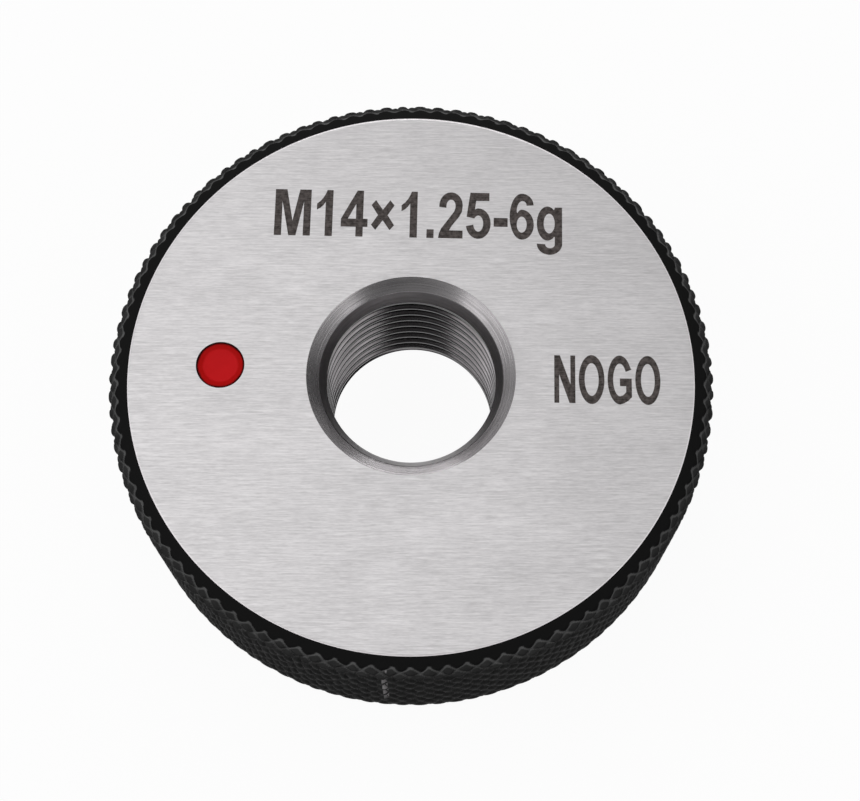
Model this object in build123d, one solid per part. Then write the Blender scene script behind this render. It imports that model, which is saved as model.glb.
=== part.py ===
from build123d import *
import math
import os

# Thread ring gauge, no-go, for an M14 x 1.25 outside thread: one turned and hardened
# steel ring with ground faces and a knurled rim, and the red enamel set in its top face.
#
# Millimetres. The thread axis is +Z and the origin is the middle of the lower face, on
# which the gauge rests. The marked face looks up, and its marking reads along +X.

# Ring
outer_diameter = 45.0  # over the tips of the knurl
thickness = 14.0  # from ground face to ground face
bevel_width = 0.85  # radial width of the smooth bevel round each ground face
bevel_angle = 22.0  # of that bevel, down from the face
shoulder_width = 0.75  # radial width of the steeper bevel that trims the knurl
shoulder_angle = 36.0  # of that bevel, down from the face

# Diamond knurl
knurl_pitch = 1.386  # from tip to tip round the rim
knurl_rise = 2.0  # from tip to tip along the rim
knurl_depth = 0.55  # from the tips to the bottom of the grooves

# Gauging thread, of which the bore has the crests
thread_diameter = 14.0
thread_pitch = 1.25
minor_diameter = thread_diameter - 1.25 * math.sqrt(3) / 2 * thread_pitch
mouth_margin = 1.5  # of the countersinks' diameter at the faces over the thread's
mouth_angle = 90.0  # included angle of the countersinks

# No-go mark
mark_diameter = 3.6  # of the flat-bottomed recess
mark_distance = 14.15  # from the thread axis to the middle of the recess
mark_turn = 177.0  # direction of the recess from +X, in degrees
recess_depth = 0.6
enamel_side_gap = 0.02  # left all round as the enamel shrinks in drying
enamel_sink = 0.08  # of the enamel's edge below the face
enamel_dish = 0.12  # of the enamel's middle below its edge


def knurled_bar():
    """Bar of the ring's thickness, knurled all along: each diamond is a low pyramid.

    Tips and groove crossings alternate on a net of upright lines and level rings, half a
    pitch and half a rise apart. Each mesh of the net is folded along the groove that
    joins its two crossings, which makes two triangles.
    """
    lines = 2 * round(math.pi * outer_diameter / knurl_pitch)
    rings = round(2 * thickness / knurl_rise)

    def point(ring, line):
        turn = 2 * math.pi * line / lines
        radius = outer_diameter / 2 - knurl_depth * ((ring + line) % 2)
        height = thickness * ring / rings
        return Vector(radius * math.cos(turn), radius * math.sin(turn), height)

    def flat(*corners):
        return Face(Wire.make_polygon(corners))

    faces = []
    for ring in range(rings):
        for line in range(lines):
            mesh = [
                point(ring, line),
                point(ring, line + 1),
                point(ring + 1, line + 1),
                point(ring + 1, line),
            ]
            # Start from a tip, so that the fold runs between the second and fourth.
            start = (ring + line) % 2
            tip, low, far_tip, far_low = mesh[start:] + mesh[:start]
            faces += [flat(tip, low, far_low), flat(low, far_tip, far_low)]
    for ring in (0, rings):
        faces.append(flat(*[point(ring, line) for line in range(lines)]))
    return Solid(Shell(faces))


def turned_ring():
    """The ring as turned: bore, countersinks, faces and bevels, oversize at the rim."""
    bore = minor_diameter / 2
    mouth = (thread_diameter + mouth_margin) / 2
    blank = outer_diameter / 2 + knurl_depth
    bevel = outer_diameter / 2 - shoulder_width
    face = bevel - bevel_width
    # Drops below the face.
    mouth_drop = (mouth - bore) / math.tan(math.radians(mouth_angle / 2))
    bevel_drop = bevel_width * math.tan(math.radians(bevel_angle))
    shoulder_drop = (blank - bevel) * math.tan(math.radians(shoulder_angle))
    outline = [
        (bore, mouth_drop),
        (mouth, 0),
        (face, 0),
        (bevel, bevel_drop),
        (blank, bevel_drop + shoulder_drop),
    ]
    outline += [(radius, thickness - drop) for radius, drop in reversed(outline)]
    section = Plane.XZ * make_face(Polyline(*outline, close=True))
    return revolve(section, Axis.Z)


def at_mark(height):
    """Place on the axis of the no-go mark, at a height above the lower face."""
    turn = math.radians(mark_turn)
    return Location(
        (mark_distance * math.cos(turn), mark_distance * math.sin(turn), height)
    )


def gauge_ring():
    """The steel ring, knurled, with the recess for the enamel in its top face."""
    recess = at_mark(thickness) * Cylinder(
        mark_diameter / 2,
        recess_depth,
        align=(Align.CENTER, Align.CENTER, Align.MAX),
    )
    return (turned_ring() & knurled_bar()) - recess


def no_go_mark():
    """Red enamel that fills the recess, dished in the middle as it dried."""
    radius = mark_diameter / 2 - enamel_side_gap
    height = recess_depth - enamel_sink
    enamel = Cylinder(radius, height, align=(Align.CENTER, Align.CENTER, Align.MIN))
    # The dish is a cap of a ball that passes through the enamel's top edge.
    ball = (radius**2 + enamel_dish**2) / (2 * enamel_dish)
    dish = Pos(0, 0, height - enamel_dish + ball) * Sphere(ball)
    return at_mark(thickness - recess_depth) * (enamel - dish)


os.makedirs("parts", exist_ok=True)
for name, shape in (("gauge_ring", gauge_ring()), ("no_go_mark", no_go_mark())):
    export_step(shape, f"parts/{name}.step")
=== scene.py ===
import math

import bmesh
import bpy
import numpy as np
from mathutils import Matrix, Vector


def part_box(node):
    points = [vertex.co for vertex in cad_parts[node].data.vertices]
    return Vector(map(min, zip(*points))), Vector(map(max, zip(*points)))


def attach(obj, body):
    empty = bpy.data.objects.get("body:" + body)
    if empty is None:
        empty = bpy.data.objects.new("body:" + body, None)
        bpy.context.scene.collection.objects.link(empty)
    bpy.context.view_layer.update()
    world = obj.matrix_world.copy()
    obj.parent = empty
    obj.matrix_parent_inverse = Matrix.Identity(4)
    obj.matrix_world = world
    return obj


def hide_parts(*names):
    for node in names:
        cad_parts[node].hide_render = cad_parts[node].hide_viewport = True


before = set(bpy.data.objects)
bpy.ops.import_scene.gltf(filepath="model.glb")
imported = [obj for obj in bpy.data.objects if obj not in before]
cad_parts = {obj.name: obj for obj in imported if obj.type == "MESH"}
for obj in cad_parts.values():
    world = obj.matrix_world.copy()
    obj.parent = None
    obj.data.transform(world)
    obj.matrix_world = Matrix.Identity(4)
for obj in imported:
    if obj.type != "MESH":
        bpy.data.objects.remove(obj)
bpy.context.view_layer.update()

# Looks of a no-go thread ring gauge. Lengths are millimetres, times MM wherever Blender is
# given metres. The thread axis is +Z and the gauge lies on its lower face, at z = 0.
MM = 0.001

# Ring
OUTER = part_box("gauge_ring")[1].x / MM  # radius over the tips of the knurl
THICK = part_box("gauge_ring")[1].z / MM
EDGE = OUTER - 1.6  # radius at which the ground faces end
GLINT = 0.045  # width, each way, of the bare edge round the faces, painted brighter as a highlight
EASE_IN, EASE_DOWN = 0.02, 0.012  # in from EDGE and down from the face: the eased corner
INLAY = 0.01  # of the faces below the etched marks, whose tops are the gauge's top
BEVEL_END = OUTER - 0.75  # radius at which the smooth bevel meets the shoulder
BEVEL_SLOPE = math.tan(math.radians(22.0))
BEVEL_RADII = (21.62, 21.3, EDGE + GLINT)  # of the bevel's mesh rows, from the knurl in
SHOULDER_ANGLE = math.radians(36.0)
BACK = 0.3  # in and up or down from the bevels' inner edges to the wall that closes the rim
# The rim's outline, measured along it from mid-height to the corner and over the shoulder.
CORNER = (
    THICK / 2
    - (BEVEL_END - EDGE) * BEVEL_SLOPE
    - (OUTER - BEVEL_END) * math.tan(SHOULDER_ANGLE)
)
SLANT = (OUTER - BEVEL_END) / math.cos(SHOULDER_ANGLE)
BEND = 0.6  # length over which the outline turns at the corner

# Diamond knurl
TIPS = 102  # round the rim, in each row
ROWS = 7  # of tips from mid-height to where the knurl ends
WALL_ROWS = 5  # of these, as far as the corner
KNURL_DEPTH = 0.38
DEPTH_AT_END = 0.25  # share of the depth left at the end of the knurl
DEPTH_LOW_DOWN = 0.2  # share left along the lower corner
LOW_DOWN_ROWS = (0.4, 1.2)  # rows from that corner, between which the depth comes back
PILLOW = 3.2  # power that shapes the lands: higher is flatter, with narrower grooves
STEPS = 5  # mesh steps from a tip to the groove beside it

# Thread and its countersinks
PITCH = 1.25
MAJOR = 7.0
MINOR = MAJOR - 1.25 * math.sqrt(3) / 2 * PITCH / 2
MOUTH = 7.75
# Each countersink is cut in two: a wide cone and, within it, a steeper one.
CUTS = ((0.0, MOUTH), (0.755, 6.85), (1.62, MINOR))  # depth and radius
RUN_OUT = 0.6  # height, from the inner cone's end, over which the thread starts
TURNS = 288  # columns round the bore
TURN_STEP = 2 * math.pi / TURNS
THREAD_ROWS = 18  # rows to one pitch
FIRST_RING = 8.1  # radius of the marked face's first ring of points past the mouth
FACE_STEP = 0.33  # from one ring to the next
LOWER_RINGS = 12  # of the lower face, from its edge to the mouth

# No-go mark
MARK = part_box("no_go_mark")
MARK_X = (MARK[0].x + MARK[1].x) / 2 / MM
MARK_Y = (MARK[0].y + MARK[1].y) / 2 / MM
MARK_FLOOR = MARK[0].z / MM
RECESS = 1.8  # radius
RECESS_GAP = 0.004  # between the floor of the recess and the enamel on it
ENAMEL = 1.78  # radius
ENAMEL_SINK = 0.08  # of the enamel's rim below the gauge's top
ENAMEL_ROUND = 0.16  # width and height of its rounded rim
ENAMEL_DISH = 0.10  # of its middle below the rim
RECESS_SQUARES = 6  # from the mark's middle to the recess's edge, in the face's mesh
BLEND_SQUARES = 12  # from the mark's middle to where the face's mesh is a plain grid again

# Worn streak on the knurl
STREAK_X = -1.86  # on the side of the rim towards the reader
STREAK_WIDTH = 0.24  # half of it, to where it has faded out
STREAK_STEP = 1.22  # from one bare dot of it to the next
STREAK_FOOT = (3.5, 4.5)  # heights between which it fades out

# Floor and lamps
FLOOR_HALF = 1500.0  # half its side
FLOOR_DROP = 0.02  # of the floor below the gauge
FLOOR_GLOW = 0.95  # share of the floor's look that is plain white, the rest takes shadows
LAMP_DISTANCE = 600.0  # of the lamps from the middle of the marked face


# ---------------------------------------------------------------- meshes


def put_in_scene(name, data):
    """A new object, at the origin."""
    thing = bpy.data.objects.new(name, data)
    bpy.context.scene.collection.objects.link(thing)
    return thing


def keep_mesh(name, points, faces, material, merge=0.0, sharp=30.0):
    """A piece from an array of points in millimetres and an array of faces of equal size.

    Points nearer together than `merge` become one. Edges that fold by more than `sharp`
    degrees are drawn crisp, the others smooth.
    """
    mesh = bpy.data.meshes.new(name)
    mesh.vertices.add(len(points))
    mesh.vertices.foreach_set("co", (points * MM).astype(np.float32).ravel())
    mesh.loops.add(faces.size)
    mesh.loops.foreach_set("vertex_index", faces.astype(np.int32).ravel())
    mesh.polygons.add(len(faces))
    starts = np.arange(0, faces.size, faces.shape[1], dtype=np.int32)
    mesh.polygons.foreach_set("loop_start", starts)
    mesh.update(calc_edges=True)
    if merge:
        shape = bmesh.new()
        shape.from_mesh(mesh)
        bmesh.ops.remove_doubles(shape, verts=shape.verts, dist=merge * MM)
        bmesh.ops.dissolve_degenerate(shape, edges=shape.edges, dist=merge * MM)
        shape.to_mesh(mesh)
        shape.free()
    mesh.shade_smooth()
    mesh.set_sharp_from_angle(angle=math.radians(sharp))
    mesh.materials.append(material)
    return put_in_scene(name, mesh)


def smooth(value):
    """Smooth step of a value clipped to 0..1: 3 v squared less 2 v cubed."""
    value = np.clip(value, 0, 1)
    return value * value * (3 - 2 * value)


def rim_profile(along):
    """Radius, height and lean of the tips' outline, a distance along it from mid-height.

    The outline runs straight up the rim and turns into the shoulder over a short bend. It
    is the running sum of its own direction, which swings smoothly from upright to the
    shoulder's slope.
    """
    fine = np.linspace(0, 9, 1801)  # distances along the outline, to past its end
    swing = smooth((fine - CORNER) / BEND + 0.5) * (math.pi / 2 - SHOULDER_ANGLE)
    step = fine[1] - fine[0]
    radius = OUTER - np.concatenate([[0], np.cumsum(np.sin(swing[:-1]) * step)])
    height = np.concatenate([[0], np.cumsum(np.cos(swing[:-1]) * step)])
    along, side = np.abs(along), np.sign(along)
    return (
        np.interp(along, fine, radius),
        side * np.interp(along, fine, height),
        np.interp(along, fine, swing),
    )


def diamond_knurl():
    """Turn, radius and height of the knurl's grid of points, and its two looks, as arrays.

    A grid of columns round the rim and rows along its outline. Rows of tips are evenly
    spaced up to the corner and closer on the shoulder. Each point lies on the outline of
    the tips, sunk by the groove depth times one less the pillow height. The pillow height
    is (1 - |a|^p)(1 - |b|^p), with a and b the point's place between the two crossing
    families of grooves, from -1 to 1. The grooves are shallow along the lower corner.
    Nothing stands above the bevel's cone. Slow sine waves shift the points sideways and
    along, as no two diamonds are quite alike. The looks are how deep in a groove a point
    is, and whether it is on a whole diamond; both run from 0 to 1.
    """
    columns = 2 * TIPS * STEPS
    row, column = np.meshgrid(
        np.arange(2 * ROWS * STEPS + 1), np.arange(columns), indexing="ij"
    )
    across, up = column / STEPS, row / STEPS - ROWS
    # Places between the grooves, folded so that a tip is at 0 and a groove at 1.
    a, b = [((d + ROWS + 1) % 2) - 1 for d in ((up + across), (up - across))]
    pillow = (1 - np.abs(a) ** PILLOW) * (1 - np.abs(b) ** PILLOW)
    turn = 2 * math.pi * column / columns
    inner = 1 - smooth((np.abs(up) - WALL_ROWS) / (ROWS - WALL_ROWS))
    sideways = 0.07 * np.sin(23 * turn + 1.9 * up) + 0.05 * np.sin(57 * turn - 2.6 * up)
    onward = 0.07 * np.sin(31 * turn + 2.3 * up) * inner
    along = np.sign(up) * np.interp(
        np.abs(up), [0, WALL_ROWS, ROWS], [0, CORNER, CORNER + SLANT]
    )
    radius, height, lean = rim_profile(along + onward)
    share = DEPTH_AT_END + (1 - DEPTH_AT_END) * inner
    share = share * (0.86 + 0.09 * np.sin(3 * turn + 1.0) + 0.05 * np.sin(37 * turn + up))
    close, far = LOW_DOWN_ROWS
    low_down = smooth((far - np.abs(up + WALL_ROWS)) / (far - close))
    at_low_corner = 1 - (1 - DEPTH_LOW_DOWN) * low_down
    share = share * at_low_corner
    sunk = KNURL_DEPTH * share * (1 - pillow)
    radius = radius - sunk * np.cos(lean)
    height = np.abs(height) - sunk * np.sin(lean)
    cone = THICK / 2 - (radius - EDGE) * BEVEL_SLOPE
    cut_off = height > cone + 0.02  # clearly above the bevel's cone
    groove = np.where(cut_off, 0.0, (1 - pillow) ** 2.5) * at_low_corner
    height = np.minimum(height, cone) * np.sign(up)
    # Diamonds cut in half by the bevel are as smooth and black as the bevel.
    tip_row = (row + column + STEPS) // (2 * STEPS) + (row - column + STEPS) // (2 * STEPS)
    land = ((tip_row > 0) & (tip_row < 2 * ROWS)).astype(float)
    return turn + sideways / OUTER, radius, height, groove, land


def knurled_rim(material):
    """The rim with its diamond knurl, its shoulders and its smooth bevels, a closed ring.

    On each side of the knurl come the bevel's own rows of points, from the knurl in to the
    ground face, and then a hidden wall behind them.
    """
    turn, radius, height, groove, land = diamond_knurl()
    knurl_rows, columns = turn.shape
    plain_turn = np.tile(2 * math.pi * np.arange(columns) / columns, (len(BEVEL_RADII), 1))
    bevel_radius = np.tile(np.array(BEVEL_RADII)[:, None], (1, columns))
    bevel_height = THICK / 2 - (bevel_radius - EDGE) * BEVEL_SLOPE
    wall = np.full((1, columns), EDGE - BACK)
    wall_height = np.full((1, columns), THICK / 2 - BACK)
    blocks = [
        (plain_turn[:1], wall, -wall_height),
        (plain_turn, bevel_radius[::-1], -bevel_height[::-1]),
        (turn, radius, height),
        (plain_turn, bevel_radius, bevel_height),
        (plain_turn[:1], wall, wall_height),
    ]
    turn, radius, height = [np.vstack(part) for part in zip(*blocks)]
    points = np.stack(
        [radius * np.cos(turn), radius * np.sin(turn), height + THICK / 2], axis=-1
    )
    rows = len(points)
    low = np.arange(rows)[:, None] * columns
    high = np.roll(np.arange(rows), -1)[:, None] * columns
    here = np.arange(columns)[None, :]
    there = np.roll(np.arange(columns), -1)[None, :]
    corner = [low + here, low + there, high + there, high + here]
    # Each cell is cut in two along a groove where one crosses it.
    first = 1 + len(BEVEL_RADII)
    falling = (np.arange(rows)[:, None] - first + here + 1) % (2 * STEPS) == STEPS

    def triangles(when_falling, otherwise):
        pick = [np.stack([corner[n] for n in ends], -1) for ends in (when_falling, otherwise)]
        return np.where(falling[..., None], *pick).reshape(-1, 3)

    faces = np.concatenate([triangles((0, 1, 3), (0, 1, 2)), triangles((1, 2, 3), (0, 2, 3))])
    rim = keep_mesh("knurled_rim", points.reshape(-1, 3), faces, material, sharp=38.0)
    for name, values in (("groove", groove), ("land", land)):
        field = np.zeros((rows, columns), np.float32)
        field[first : first + knurl_rows] = values
        attribute = rim.data.attributes.new(name, "FLOAT", "POINT")
        attribute.data.foreach_set("value", field.ravel())
    return rim


def thread_radius(height, turn):
    """Radius of the thread's surface: a trapezium in the height within one pitch.

    The height is first lowered by a pitch for each whole turn, which makes a helix. The
    crest is a quarter of the pitch wide and the root an eighth, with flanks between them
    that lean 30 degrees from square to the axis.
    """
    within = (height / PITCH - turn / (2 * math.pi)) % 1.0
    from_crest = np.abs(within - 0.5)
    flank = (from_crest * PITCH - PITCH / 8) / math.tan(math.radians(30.0))
    return MINOR + np.clip(flank, 0, MAJOR - MINOR)


def threaded_bore():
    """Points and faces of the thread, between the ends of the two countersinks.

    The rows of points climb one pitch in each turn, so that they follow the thread. The
    radius is the crests' plus the thread's depth times a smooth step, which grows from
    both ends. The rows are held between the two ends, where the points run together on a
    level circle.
    """
    climb = PITCH / THREAD_ROWS
    low, high = CUTS[2][0], THICK - CUTS[2][0]
    first = int(low / climb) - THREAD_ROWS
    rows = int(high / climb) + 3 - first
    row, column = np.meshgrid(np.arange(rows), np.arange(TURNS), indexing="ij")
    turn = column * TURN_STEP
    height = np.clip((first + row - 0.5) * climb + PITCH * column / TURNS, low, high)
    run_out = smooth(np.minimum(height - low, high - height) / RUN_OUT)
    radius = MINOR + (thread_radius(height, turn) - MINOR) * run_out
    points = np.stack([radius * np.cos(turn), radius * np.sin(turn), height], -1)
    number = row * TURNS + column
    # After a whole turn, each row goes on as the row that began one pitch higher.
    beside = np.where(column < TURNS - 1, number + 1, number + 1 - TURNS + THREAD_ROWS * TURNS)
    keep = (row < rows - 1) & (beside + TURNS < rows * TURNS)
    faces = np.stack([number, number + TURNS, beside + TURNS, beside], -1)[keep]
    return points.reshape(-1, 3), faces


def plate_section():
    """Radius and height of each ring of points of the plate, which is all but the thread.

    The rings run from the thread's upper end out over the countersink and the marked face,
    down, and in over the lower face and countersink to the thread's lower end. The rows of
    the marked face's inner and outer rings are given too.
    """
    corner = CUTS[1][0]
    cone_depth = np.array([CUTS[2][0], corner + GLINT, corner, corner - GLINT])
    cone_radius = np.interp(cone_depth, *zip(*CUTS))
    top = THICK - INLAY
    face_end = EDGE - GLINT
    middle_radius = np.arange(FIRST_RING, face_end - FACE_STEP / 2, FACE_STEP)
    radius = np.concatenate([
        cone_radius, [MOUTH], middle_radius, [face_end],
        [EDGE - EASE_IN, EDGE + GLINT, EDGE + GLINT, EDGE - EASE_IN],
        np.linspace(face_end, MOUTH, LOWER_RINGS), cone_radius[::-1],
    ])
    height = np.concatenate([
        THICK - cone_depth, [THICK], np.full(len(middle_radius), top), [top],
        [top - EASE_DOWN, THICK - GLINT * BEVEL_SLOPE, GLINT * BEVEL_SLOPE, EASE_DOWN],
        np.zeros(LOWER_RINGS), cone_depth[::-1],
    ])
    mouth_row = len(cone_radius)
    return radius, height, mouth_row, mouth_row + len(middle_radius) + 1


def square_angle(down, across, side):
    """Angle at which a point of a square of squares lies once the square is made round.

    On the side where `down` is largest, the angle is an eighth of a turn times across over
    side; the other three sides follow, a quarter turn apart.
    """
    eighth = math.pi / 4
    on_outer = (np.abs(down) >= np.abs(across)) & (down > 0)
    on_inner = (np.abs(down) >= np.abs(across)) & (down <= 0)
    on_next = (np.abs(down) < np.abs(across)) & (across > 0)
    return np.select(
        [on_outer, on_inner, on_next],
        [eighth * across / side,
         math.pi - eighth * across / side,
         math.pi / 2 - eighth * down / side],
        -math.pi / 2 + eighth * down / side,
    )


def plate_with_recess():
    """Points and faces of the countersinks and the ground faces, a grid of circles.

    Near the no-go mark the grid's squares are drawn in to circles round the mark, and
    those inside the mark's edge go down to make the recess.
    """
    radius, height, mouth_row, end_row = plate_section()
    row, column = np.meshgrid(np.arange(len(radius)), np.arange(TURNS), indexing="ij")
    turn = column * TURN_STEP
    x, y, z = radius[row] * np.cos(turn), radius[row] * np.sin(turn), height[row]
    # Squares round the mark, counted from the grid point nearest to its middle.
    mark_turn = math.atan2(MARK_Y, MARK_X) % (2 * math.pi)
    off_mark = np.abs(radius[mouth_row:end_row] - math.hypot(MARK_X, MARK_Y))
    down = row - (mouth_row + int(np.argmin(off_mark)))
    across = column - round(mark_turn / TURN_STEP)
    squares = np.maximum(np.abs(down), np.abs(across))
    near = (squares < BLEND_SQUARES) & (row > mouth_row) & (row < end_row)
    angle = square_angle(down, across, np.maximum(squares, 1)) + mark_turn
    wide = np.where(
        squares >= RECESS_SQUARES,
        RECESS + (squares - RECESS_SQUARES) * FACE_STEP,
        np.minimum(squares / (RECESS_SQUARES - 1), 1) * RECESS,
    )
    round_x, round_y = wide * np.cos(angle), wide * np.sin(angle)
    share = smooth((squares - RECESS_SQUARES) / (BLEND_SQUARES - RECESS_SQUARES))
    x = np.where(near, MARK_X + share * (x - MARK_X) + (1 - share) * round_x, x)
    y = np.where(near, MARK_Y + share * (y - MARK_Y) + (1 - share) * round_y, y)
    z = np.where(squares < RECESS_SQUARES, MARK_FLOOR - RECESS_GAP, z)
    number = row * TURNS + column
    beside = row * TURNS + (column + 1) % TURNS
    faces = np.stack([number, number + TURNS, beside + TURNS, beside], -1)[:-1]
    return np.stack([x, y, z], -1).reshape(-1, 3), faces.reshape(-1, 4)


def ring_body(material, bore_material):
    """Ground faces, recess, countersinks and threaded bore, as one closed ring."""
    bore, bore_faces = threaded_bore()
    plate, plate_faces = plate_with_recess()
    points = np.concatenate([bore, plate])
    faces = np.concatenate([bore_faces, plate_faces + len(bore)])
    body = keep_mesh("ring_body", points, faces, material, merge=0.002, sharp=24.0)
    body.data.materials.append(bore_material)
    centres = np.empty(len(body.data.polygons) * 3)
    body.data.polygons.foreach_get("center", centres)
    centres = centres.reshape(-1, 3) / MM
    in_bore = np.hypot(centres[:, 0], centres[:, 1]) < MOUTH
    body.data.polygons.foreach_set("material_index", in_bore.astype(np.int32))
    return body


def enamel_spot(material):
    """The red enamel: a disc turned from a profile of radius and height.

    Its top sinks from a rounded rim to a dish whose height grows with the radius squared.
    """
    around = 96
    top = THICK - ENAMEL_SINK
    dish = ENAMEL - ENAMEL_ROUND  # radius
    share = np.linspace(1, 0, 14)  # of the dish's radius
    rim_out = np.array([1.0, 1.0, 0.96, 0.82, 0.55, 0.2])  # shares of the rim's width
    rim_down = np.array([1.0, 0.5625, 0.21875, 0.05, 0.0])  # and of its height
    radius = np.concatenate([[0.0], dish + ENAMEL_ROUND * rim_out, dish * share])
    rise = np.concatenate([
        [MARK_FLOOR, MARK_FLOOR], top - ENAMEL_ROUND * rim_down, top - ENAMEL_DISH * (1 - share**2)
    ])
    turn = np.arange(around) * 2 * math.pi / around
    x = MARK_X + radius[:, None] * np.cos(turn)
    y = MARK_Y + radius[:, None] * np.sin(turn)
    z = np.repeat(rise[:, None], around, 1)
    number = np.arange(len(radius) - 1)[:, None] * around + np.arange(around)
    beside = np.arange(len(radius) - 1)[:, None] * around + (np.arange(around) + 1) % around
    faces = np.stack([number, beside, beside + around, number + around], -1).reshape(-1, 4)
    return keep_mesh("enamel_spot", np.stack([x, y, z], -1).reshape(-1, 3), faces, material,
                     merge=0.0005, sharp=50.0)


def arc(x, y, wide, high, start, end, count=14):
    """Points of an ellipse's arc: the middle plus its half sizes times cosine and sine."""
    turn = np.radians(np.linspace(start, end, count))
    return np.stack([x + wide * np.cos(turn), y + high * np.sin(turn)], -1)


def outline(*parts):
    """One closed outline from points and arcs in turn."""
    return np.concatenate([np.reshape(part, (-1, 2)) for part in parts])


def narrow_letters():
    """Outlines of narrow heavy letters, each in a box one wide and one high to the capitals.

    The first outline of a letter is its outside and any other is a hole in it.
    """
    one = outline(
        [0.54, 0, 0.54, 0.74], [0.40, 0.67, 0.22, 0.61, 0, 0.57, 0, 0.70],
        [0.22, 0.76, 0.42, 0.85, 0.56, 0.94, 0.62, 1, 1, 1, 1, 0],
    )
    six = outline(
        arc(0.5, 0.74, 0.49, 0.26, 2, 90), arc(0.5, 0.5, 0.5, 0.5, 90, 270, 24),
        arc(0.5, 0.325, 0.5, 0.325, -90, 90, 20), arc(0.5, 0.50, 0.2, 0.15, 90, 150, 6),
        arc(0.53, 0.62, 0.24, 0.22, 185, 90, 10), arc(0.53, 0.74, 0.17, 0.10, 90, 0, 8),
    )
    return {
        "M": [outline([0, 0, 0, 1, 0.32, 1, 0.5, 0.32, 0.68, 1, 1, 1, 1, 0, 0.8, 0],
                      [0.8, 0.74, 0.6, 0, 0.4, 0, 0.2, 0.74, 0.2, 0])],
        "1": [one],
        "4": [outline([0.56, 0, 0.56, 0.21, 0, 0.21, 0, 0.38, 0.59, 1, 0.83, 1],
                      [0.83, 0.385, 1, 0.385, 1, 0.21, 0.83, 0.21, 0.83, 0]),
              outline([0.56, 0.385, 0.56, 0.71, 0.26, 0.385])],
        "x": [outline([0, 0.69, 0.19, 0.80, 0.5, 0.59, 0.81, 0.80, 1, 0.69, 0.71, 0.475],
                      [1, 0.26, 0.81, 0.15, 0.5, 0.36, 0.19, 0.15, 0, 0.26, 0.29, 0.475])],
        ".": [outline([0, 0, 0, 0.185, 1, 0.185, 1, 0])],
        "-": [outline([0, 0.27, 0, 0.46, 1, 0.46, 1, 0.27])],
        "2": [outline(
            [0.03, 0.68], arc(0.51, 0.71, 0.48, 0.29, 178, 0, 24),
            [0.96, 0.58, 0.85, 0.47, 0.55, 0.27, 0.44, 0.17, 1, 0.17, 1, 0, 0, 0],
            [0.03, 0.10, 0.12, 0.21, 0.46, 0.45, 0.64, 0.58, 0.69, 0.66],
            arc(0.51, 0.71, 0.185, 0.13, 0, 175, 14), [0.32, 0.66],
        )],
        "5": [outline(
            [0.17, 1, 0.94, 1, 0.94, 0.825, 0.41, 0.825, 0.36, 0.635],
            arc(0.5, 0.33, 0.5, 0.33, 95, -170, 34), [0.31, 0.305],
            arc(0.5, 0.33, 0.2, 0.175, -170, 142, 26), [0.03, 0.475],
        )],
        "6": [six, arc(0.5, 0.325, 0.205, 0.175, 0, 345, 24)],
        "g": [outline(
            [0.72, 0.71, 1, 0.71, 1, -0.08], arc(0.5, -0.08, 0.5, 0.235, 0, -180, 24),
            [0.33, -0.09], arc(0.52, -0.09, 0.19, 0.085, 180, 360, 12), [0.71, 0.07],
            arc(0.42, 0.36, 0.42, 0.37, -52, -308, 34),
        ), arc(0.49, 0.36, 0.22, 0.215, 0, 345, 24)],
        "N": [outline([0, 0, 0, 1, 0.27, 1, 0.77, 0.39, 0.77, 1, 1, 1],
                      [1, 0, 0.72, 0, 0.23, 0.60, 0.23, 0])],
        "O": [arc(0.5, 0.5, 0.5, 0.515, 0, 354, 60), arc(0.5, 0.5, 0.275, 0.345, 0, 350, 36)],
        "G": [outline(
            [1, 0.72], arc(0.52, 0.5, 0.5, 0.515, 30, 270, 44),
            [0.68, 0.01, 0.84, 0.06, 1, 0.14, 1, 0.53, 0.52, 0.53, 0.52, 0.37, 0.77, 0.37],
            [0.77, 0.245, 0.65, 0.18], arc(0.52, 0.5, 0.275, 0.345, 270, 30, 30),
        )],
    }


def etched_marks(name, writing, left, angle, capital, material):
    """Etched marking: flat letters a hair thick, whose tops are the top of the gauge.

    Each letter's outlines are stretched from its left to its right edge along the line of
    writing and to the capitals' height, filled as one flat curve, and made a mesh. Then
    the line is turned and moved to its place.
    """
    shapes = narrow_letters()
    curve = bpy.data.curves.new(name, "CURVE")
    curve.dimensions, curve.fill_mode, curve.extrude = "2D", "BOTH", 1.0
    for letter, start, end in writing:
        for shape in shapes[letter]:
            spline = curve.splines.new("POLY")
            spline.points.add(len(shape) - 1)
            corners = np.zeros((len(shape), 4))
            corners[:, 0] = start + shape[:, 0] * (end - start)
            corners[:, 1] = shape[:, 1] * capital
            corners[:, 3] = 1
            spline.points.foreach_set("co", corners.ravel())
            spline.use_cyclic_u = True
    loose = bpy.data.objects.new(name, curve)
    mesh = bpy.data.meshes.new_from_object(loose)
    bpy.data.objects.remove(loose)
    at = np.empty(len(mesh.vertices) * 3)
    mesh.vertices.foreach_get("co", at)
    at = at.reshape(-1, 3)
    turn = math.radians(angle)
    x = left[0] + at[:, 0] * math.cos(turn) - at[:, 1] * math.sin(turn)
    y = left[1] + at[:, 0] * math.sin(turn) + at[:, 1] * math.cos(turn)
    z = np.where(at[:, 2] > 0, THICK, THICK - 3 * INLAY)
    mesh.vertices.foreach_set("co", (np.stack([x, y, z], -1) * MM).ravel())
    shape = bmesh.new()
    shape.from_mesh(mesh)
    bmesh.ops.remove_doubles(shape, verts=shape.verts, dist=0.001 * MM)
    shape.to_mesh(mesh)
    shape.free()
    mesh.materials.clear()
    mesh.materials.append(material)
    mesh.name = name
    return put_in_scene(name, mesh)


# ---------------------------------------------------------------- materials


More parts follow.
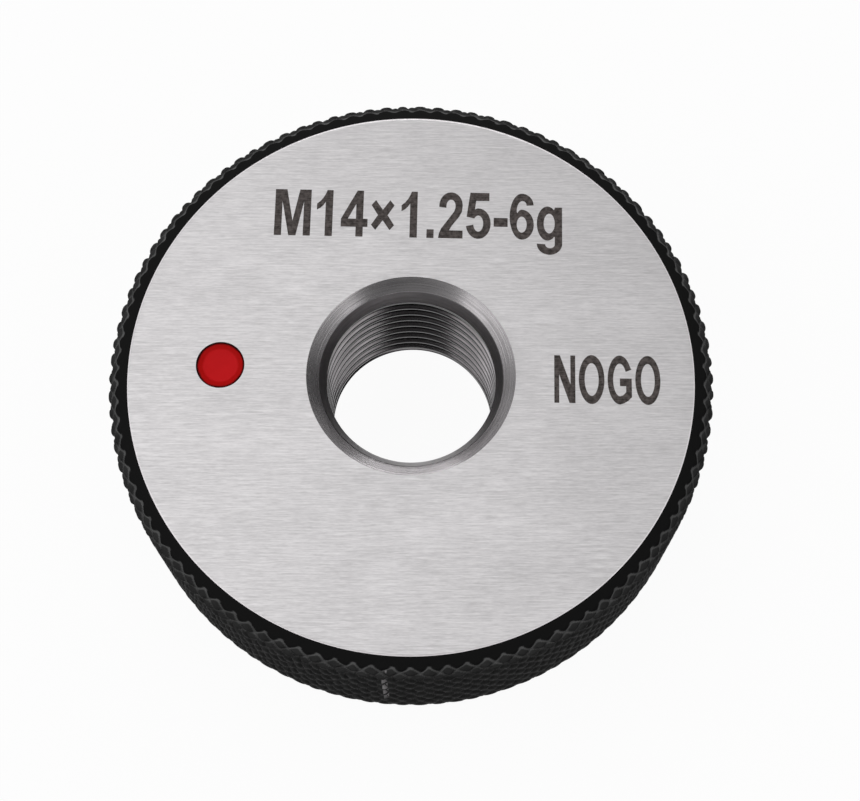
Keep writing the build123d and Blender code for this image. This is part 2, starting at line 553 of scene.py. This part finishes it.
class Value:
    """A shader socket. Sums, products and powers of it add the Math nodes they need."""

    def __init__(self, nodes, socket):
        self.nodes, self.socket = nodes, socket

    def math(self, operation, *others):
        return self.nodes.math(operation, self, *others)

    def __add__(self, other):
        return self.math("ADD", other)

    __radd__ = __add__

    def __sub__(self, other):
        return self.math("SUBTRACT", other)

    def __rsub__(self, other):
        return self.nodes.math("SUBTRACT", other, self)

    def __mul__(self, other):
        return self.math("MULTIPLY", other)

    __rmul__ = __mul__

    def __truediv__(self, other):
        return self.math("DIVIDE", other)

    def __pow__(self, other):
        return self.math("POWER", other)

    def ramp(self, low, high):
        """0 at low, 1 at high and a smooth step between, whichever of the two is larger."""
        return self.nodes.add(
            "ShaderNodeMapRange",
            {"interpolation_type": "SMOOTHSTEP"},
            {"Value": self, "From Min": low, "From Max": high},
        )


class Nodes:
    """A node tree on the making: its add() puts in one node and gives its output."""

    def __init__(self, tree):
        self.tree = tree

    def put(self, socket, value):
        if isinstance(value, Value):
            self.tree.links.new(value.socket, socket)
        else:
            socket.default_value = value

    def add(self, kind, settings=None, inputs=None, output=0):
        """One node: its settings are set first, then its sockets by name or number."""
        node = self.tree.nodes.new(kind)
        for name, value in (settings or {}).items():
            setattr(node, name, value)
        for name, value in (inputs or {}).items():
            self.put(node.inputs[name], value)
        return Value(self, node.outputs[output])

    def math(self, operation, *values):
        return self.add("ShaderNodeMath", {"operation": operation}, dict(enumerate(values)))

    def parts(self, vector):
        """The three numbers of a vector."""
        node = self.tree.nodes.new("ShaderNodeSeparateXYZ")
        self.put(node.inputs[0], vector)
        return [Value(self, socket) for socket in node.outputs]

    def join(self, x, y, z):
        return self.add("ShaderNodeCombineXYZ", inputs={0: x, 1: y, 2: z})

    def blend(self, share, first, second):
        """A colour between two colours."""
        inputs = {0: share, 6: first, 7: second}
        return self.add("ShaderNodeMix", {"data_type": "RGBA"}, inputs, output=2)

    def rays(self):
        """Whether a ray is the camera's, a mirror's or a clear thing's: three of 0 or 1."""
        return [
            self.add("ShaderNodeLightPath", output=name)
            for name in ("Is Camera Ray", "Is Glossy Ray", "Is Transmission Ray")
        ]


class Finish(Nodes):
    """A material on the making. Sockets with one value all over are given by name."""

    def __init__(self, name, **fixed):
        self.material = bpy.data.materials.new(name)
        self.material.use_nodes = True
        super().__init__(self.material.node_tree)
        self.shader = self.tree.nodes["Principled BSDF"]
        self.use(**fixed)

    def use(self, **sockets):
        for name, value in sockets.items():
            self.put(self.shader.inputs[name.replace("_", " ")], value)

    def place(self, scale=(1, 1, 1), turn=0.0):
        """Object coordinates in millimetres, each axis times its own scale."""
        inputs = {
            "Vector": self.add("ShaderNodeTexCoord", output="Object"),
            "Scale": tuple(s / MM for s in scale),
            "Rotation": (0, 0, math.radians(turn)),
        }
        return self.add("ShaderNodeMapping", inputs=inputs)

    def noise(self, vector, detail=2.0):
        """Smooth noise about one half."""
        inputs = {"Vector": vector, "Scale": 1.0, "Detail": detail, "Roughness": 0.5}
        return self.add("ShaderNodeTexNoise", inputs=inputs)

    def attribute(self, name):
        return self.add("ShaderNodeAttribute", {"attribute_name": name}, output="Fac")

    def bump(self, height, strength, distance):
        """Feeds the shader's normal with a height, which counts as so many millimetres."""
        inputs = {"Strength": strength, "Distance": distance * MM, "Height": height}
        self.use(Normal=self.add("ShaderNodeBump", inputs=inputs))


def shade(level, warm=0.0):
    """A grey of the given linear level, a little warm."""
    return (level * (1 + warm), level * (1 - warm), level, 1.0)


def ground_steel():
    """Steel ground in short level strokes: long thin noise in the tone and the roughness.

    A hair's breadth at the rim is bare steel, painted lighter than the face as a highlight (a
    glint).
    """
    finish = Finish("ground_steel", Metallic=1.0)
    long_strokes = finish.noise(finish.place((0.32, 7.0, 1.0), turn=-0.5), detail=2.0)
    short_strokes = finish.noise(finish.place((0.95, 10.0, 1.0), turn=1.1), detail=2.0)
    hairs = finish.noise(finish.place((2.4, 17.0, 1.0)), detail=1.0)
    patches = finish.noise(finish.place((0.10, 0.30, 1.0)), detail=1.0)
    strokes = (long_strokes - 0.5) * 0.6 + (short_strokes - 0.5) * 0.6 + (hairs - 0.5) * 0.35
    tone = strokes + (patches - 0.5) * 0.2
    x, y, _ = finish.parts(finish.place())
    # The rim's hair-wide edge gets a lighter colour: a painted highlight, a glint on the bare
    # edge.
    edge = ((x * x + y * y) ** 0.5).ramp(EDGE - GLINT - 0.01, EDGE - EASE_IN)
    ground = finish.blend((tone + 0.5).ramp(0.15, 0.85), shade(0.56, 0.012), shade(0.76, 0.012))
    colour = finish.blend(edge, ground, shade(0.78, 0.02))
    finish.use(Base_Color=colour, Roughness=0.42 - tone * 0.25)
    finish.bump(strokes, 0.25, 0.01)
    return finish.material


def bore_steel():
    """Turned steel of the bore: lighter in the countersinks and dark in the thread, with painted
    shade on the crests and roots.
    """
    finish = Finish("bore_steel", Metallic=1.0)
    x, y, z = finish.parts(finish.place())
    radius = (x * x + y * y) ** 0.5
    angle = y.math("ARCTAN2", x)
    rings = finish.noise(finish.join(radius * 9.0, z * 9.0, angle * 0.8), detail=2.0)
    smears = finish.noise(finish.join(radius * 1.2, z * 1.2, angle * 3.0), detail=2.0)
    tone = (rings - 0.5) * 0.6 + (smears - 0.5) * 0.5
    depth = THICK / 2 - (z - THICK / 2).math("ABSOLUTE")
    share = (tone + 0.5).ramp(0.2, 0.8)
    # Crests and the deep part of each flank by the root are painted dark: painted shade between
    # the thread's lit bands.
    crest = radius.ramp(MINOR + 0.07, MINOR + 0.02)
    root = radius.ramp(MINOR + 0.15, MINOR + 0.27)
    flank = finish.blend(share, shade(0.16, 0.03), shade(0.28, 0.03))
    thread = finish.blend(crest, finish.blend(root, flank, shade(0.01)), shade(0.02, 0.03))
    inner = finish.blend(share, shade(0.40, 0.02), shade(0.62, 0.02))
    outer = finish.blend(share, shade(0.38, 0.02), shade(0.60, 0.02))
    in_thread = depth.ramp(CUTS[2][0] - 0.03, CUTS[2][0] + 0.01)
    in_outer = depth.ramp(CUTS[1][0] + 0.05, CUTS[1][0] - 0.05)
    colour = finish.blend(in_thread, inner, thread)
    rough = 0.32 - in_thread * 0.09 - in_outer * 0.06 - tone * 0.15  # dullest on the inner cone
    finish.use(Base_Color=finish.blend(in_outer, colour, outer), Roughness=rough)
    finish.bump(rings, 0.35, 0.02)
    return finish.material


def black_oxide():
    """Blackened steel: black on the bevels, a bit greyer on the knurl. Its grooves are
    painted a lighter grey, a painted highlight for the light that their upward sides catch.

    One upright streak down the upper part of the knurl is rubbed bare.
    """
    finish = Finish("black_oxide", Specular_IOR_Level=0.003)
    groove, land = finish.attribute("groove"), finish.attribute("land")
    blotches = finish.noise(finish.place((1.1, 1.1, 1.1)), detail=3.0)
    grain = finish.noise(finish.place((9.0, 9.0, 9.0)), detail=3.0)
    rubbed = land * (0.2 + blotches * 1.1)
    base = finish.blend(rubbed, shade(0.012), shade(0.042))
    # Painted highlight: the grooves are painted lighter grey for the light their upward sides
    # catch.
    painted_groove_highlight = groove.ramp(0.03, 0.75) * (0.4 + blotches * 1.1)
    colour = finish.blend(painted_groove_highlight, base, shade(0.125))
    x, y, z = finish.parts(finish.place())
    off_streak = (x - STREAK_X).math("ABSOLUTE")
    streak = off_streak.ramp(STREAK_WIDTH, 0.6 * STREAK_WIDTH) * y.ramp(0.0, -1.0)
    dots = (z * (2 * math.pi / STREAK_STEP)).math("SINE").ramp(-0.3, 0.5)
    bare = streak * dots * land * z.ramp(*STREAK_FOOT) * (0.8 + grain * 0.25)
    colour = finish.blend(bare, colour, shade(0.55, 0.02))
    finish.use(Base_Color=colour, Roughness=0.44 + (grain - 0.5) * 0.2 + groove * 0.12)
    finish.bump(grain, 0.25, 0.02)
    return finish.material


def red_enamel():
    """Red enamel: an even middle, a deeper red round it and a nearly black edge, painted shade
    where the recess's wall shades it.
    """
    finish = Finish("red_enamel", Specular_IOR_Level=0.06)
    x, y, _ = finish.parts(finish.place())
    dx, dy = x - MARK_X, y - MARK_Y
    clouds = finish.noise(finish.place((1.3, 1.3, 1.3)), detail=2.0)
    out = (dx * dx + dy * dy) ** 0.5 / ENAMEL + (clouds - 0.5) * 0.10
    middle = finish.blend(clouds, (0.58, 0.0065, 0.009, 1), (0.64, 0.0085, 0.012, 1))
    red = finish.blend(out.ramp(0.66, 0.78), middle, (0.46, 0.001, 0.001, 1))
    # Nearly black edge: painted shade at the recess's wall.
    colour = finish.blend(out.ramp(0.87, 0.98), red, (0.03, 0.0005, 0.0005, 1))
    finish.use(Base_Color=colour, Roughness=0.25 + clouds * 0.12)
    finish.bump(clouds, 0.2, 0.05)
    return finish.material


def etched_black():
    """Etched marking: a matt brown-grey, with the grinding strokes showing through."""
    finish = Finish("etched_black", Specular_IOR_Level=0.25)
    strokes = finish.noise(finish.place((0.5, 14.0, 1.0)), detail=3.0)
    speck = finish.noise(finish.place((3.2, 3.2, 1.0)), detail=4.0)
    share = (strokes * 0.4 + speck * 0.6).ramp(0.36, 0.64)
    colour = finish.blend(share, (0.034, 0.028, 0.026, 1), (0.115, 0.097, 0.092, 1))
    finish.use(Base_Color=colour, Roughness=0.6 + speck * 0.2)
    finish.bump(speck, 0.2, 0.01)
    return finish.material


# ---------------------------------------------------------------- the gauge

steel = ground_steel()
rim = knurled_rim(black_oxide())
body = ring_body(steel, bore_steel())
spot = enamel_spot(red_enamel())

SIZE_WRITING = [
    ("M", 0.0, 2.74), ("1", 3.19, 4.41), ("4", 5.05, 7.08), ("x", 7.35, 9.10),
    ("1", 9.64, 10.85), (".", 11.58, 12.12), ("2", 12.46, 14.32), ("5", 14.55, 16.44),
    ("-", 16.67, 17.73), ("6", 17.88, 19.72), ("g", 19.95, 21.87),
]
NO_GO_WRITING = [("N", 0.0, 1.55), ("O", 1.81, 3.70), ("G", 3.90, 5.71), ("O", 5.98, 7.83)]
etch = etched_black()
size_text = etched_marks("thread_size_marking", SIZE_WRITING, (-10.45, 11.17), -1.2, 3.80, etch)
no_go_text = etched_marks("no_go_marking", NO_GO_WRITING, (10.55, -2.21), -0.98, 3.70, etch)

for piece, slot in (
    (rim, "gauge_steel"),
    (body, "gauge_steel"),
    (size_text, "gauge_steel"),
    (no_go_text, "gauge_steel"),
    (spot, "red_enamel"),
):
    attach(piece, "root")
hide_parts("gauge_ring")
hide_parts("no_go_mark")


# ---------------------------------------------------------------- floor, light and camera


def studio_floor():
    """A wide pale floor just under the gauge: white to the eye, but it takes shadows."""
    corners = np.array([[-1, -1], [1, -1], [1, 1], [-1, 1]]) * FLOOR_HALF
    points = np.c_[corners, np.full(4, -FLOOR_DROP)]
    finish = Finish("floor_white", Roughness=0.9, Specular_IOR_Level=0.1)
    seen, glossy, through = finish.rays()
    finish.use(Base_Color=finish.blend(seen, shade(0.08), shade(0.9)))
    share = seen.math("MAXIMUM", glossy).math("MAXIMUM", through) * FLOOR_GLOW
    white = finish.add("ShaderNodeEmission", inputs={"Strength": 1.0})
    floor = Value(finish, finish.shader.outputs[0])
    mixed = finish.add("ShaderNodeMixShader", inputs={0: share, 1: floor, 2: white})
    finish.put(finish.tree.nodes["Material Output"].inputs["Surface"], mixed)
    return keep_mesh("studio_floor", points, np.array([[0, 1, 2, 3]]), finish.material)


def studio_world():
    """Surroundings: pale low down, most on the left, and dim overhead.

    Seen directly they are as white as the floor low down, and in metal at their foot.
    """
    world = bpy.data.worlds.new("studio")
    world.use_nodes = True
    nodes = Nodes(world.node_tree)
    x, y, z = nodes.parts(nodes.add("ShaderNodeTexCoord", output="Generated"))
    light = 0.03 + z.ramp(0.66, 0.50) * (0.17 - x * 0.14 - y * 0.06)
    seen, glossy, through = nodes.rays()
    mirrored = glossy.math("MAXIMUM", through) * z.ramp(0.10, 0.02)
    white = (seen * z.ramp(0.60, 0.40)).math("MAXIMUM", mirrored)
    bright = light + white * (1 - light)
    background = world.node_tree.nodes["Background"]
    nodes.put(background.inputs["Strength"], bright)
    background.inputs["Color"].default_value = (1, 1, 1, 1)
    return world


studio_floor()
bpy.context.scene.world = studio_world()


def soft_light(name, from_top, towards, wide, high, bright):
    """A soft lamp that faces the gauge, its face so many times white.

    It stands at an angle from straight up, in a direction round from +X, in degrees.
    """
    lamp = bpy.data.lights.new(name, "AREA")
    lamp.shape = "RECTANGLE"
    lamp.size, lamp.size_y = wide * MM, high * MM
    lamp.energy = bright * math.pi * lamp.size * lamp.size_y
    lean, turn = math.radians(from_top), math.radians(towards)
    level = math.sin(lean)
    out = Vector((level * math.cos(turn), level * math.sin(turn), math.cos(lean)))
    light = put_in_scene(name, lamp)
    light.location = (out * LAMP_DISTANCE + Vector((0, 0, THICK))) * MM
    light.rotation_euler = (-out).to_track_quat("-Z", "Y").to_euler()
    light.visible_camera = False


soft_light("soft_top", 17, 150, 700, 640, 1.12)
soft_light("soft_left", 50, 195, 580, 360, 1.15)
soft_light("soft_right", 47, -15, 580, 340, 1.2)
soft_light("soft_back", 75, 90, 420, 290, 3.9)

TILT = math.radians(18.0)  # of the view, from straight down towards the reader
DISTANCE = 130.0  # of the camera from the point it looks at
AIM = Vector((1.405, -2.042, THICK))
view = bpy.data.cameras.new("camera")
view.sensor_width = 36.0
view.lens = 74.01
view.clip_start, view.clip_end = 0.01, 20.0
camera = put_in_scene("camera", view)
back = Vector((0, -math.sin(TILT), math.cos(TILT)))
camera.location = (AIM + back * DISTANCE) * MM
camera.rotation_euler = (TILT, 0, 0)
bpy.context.scene.camera = camera
bpy.context.scene.view_settings.view_transform = "Standard"
